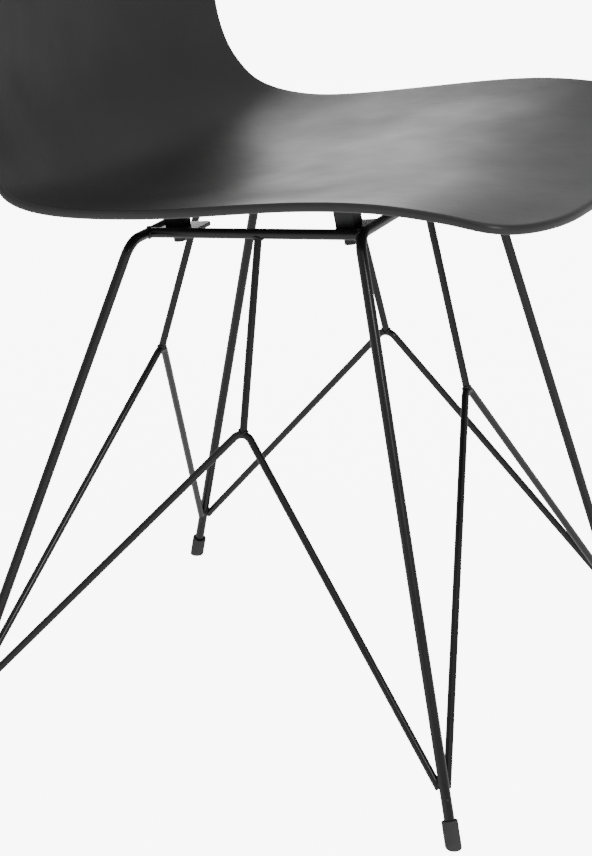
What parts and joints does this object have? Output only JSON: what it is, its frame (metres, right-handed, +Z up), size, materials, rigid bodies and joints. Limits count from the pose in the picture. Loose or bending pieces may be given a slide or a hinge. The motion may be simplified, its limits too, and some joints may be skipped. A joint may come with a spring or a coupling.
{
  "type": "wire base side chair",
  "caption": "Armless side chair: one-piece moulded shell with a waisted back on a welded wire-rod base with inverted-V braces and capped feet.",
  "frame": {"origin": "on the floor, between the front and the rear feet and on the chair's plane of symmetry", "axes": "+Z up, the sitter faces -Y, +X to the sitter's left"},
  "size_m": [0.4996, 0.538, 0.816],
  "materials": {
    "shell_plastic": "satin black moulded plastic with a faint brushed grain from front to back",
    "frame_paint": "semi-gloss black powder coat on steel rod and plate",
    "foot_cap_plastic": "matt dark grey push-on caps",
    "fastener_steel": "blackened steel screws and washers",
    "insert_brass": "plain brass"
  },
  "bodies": {
    "root": {"seat_shell": "shell_plastic", "front_leg_bow": "frame_paint", "rear_leg_bow": "frame_paint", "left_side_rail": "frame_paint", "right_side_rail": "frame_paint", "front_left_mount_plate": "frame_paint", "front_right_mount_plate": "frame_paint", "rear_left_mount_plate": "frame_paint", "rear_right_mount_plate": "frame_paint", "front_strut": "frame_paint", "rear_strut": "frame_paint", "left_strut": "frame_paint", "right_strut": "frame_paint", "front_v_brace": "frame_paint", "rear_v_brace": "frame_paint", "left_v_brace": "frame_paint", "right_v_brace": "frame_paint", "front_left_foot_cap": "foot_cap_plastic", "front_right_foot_cap": "foot_cap_plastic", "rear_left_foot_cap": "foot_cap_plastic", "rear_right_foot_cap": "foot_cap_plastic", "seat_screws": "fastener_steel", "flat_washers": "fastener_steel", "spring_washers": "fastener_steel", "threaded_inserts": "insert_brass"}
  },
  "joints": []
}
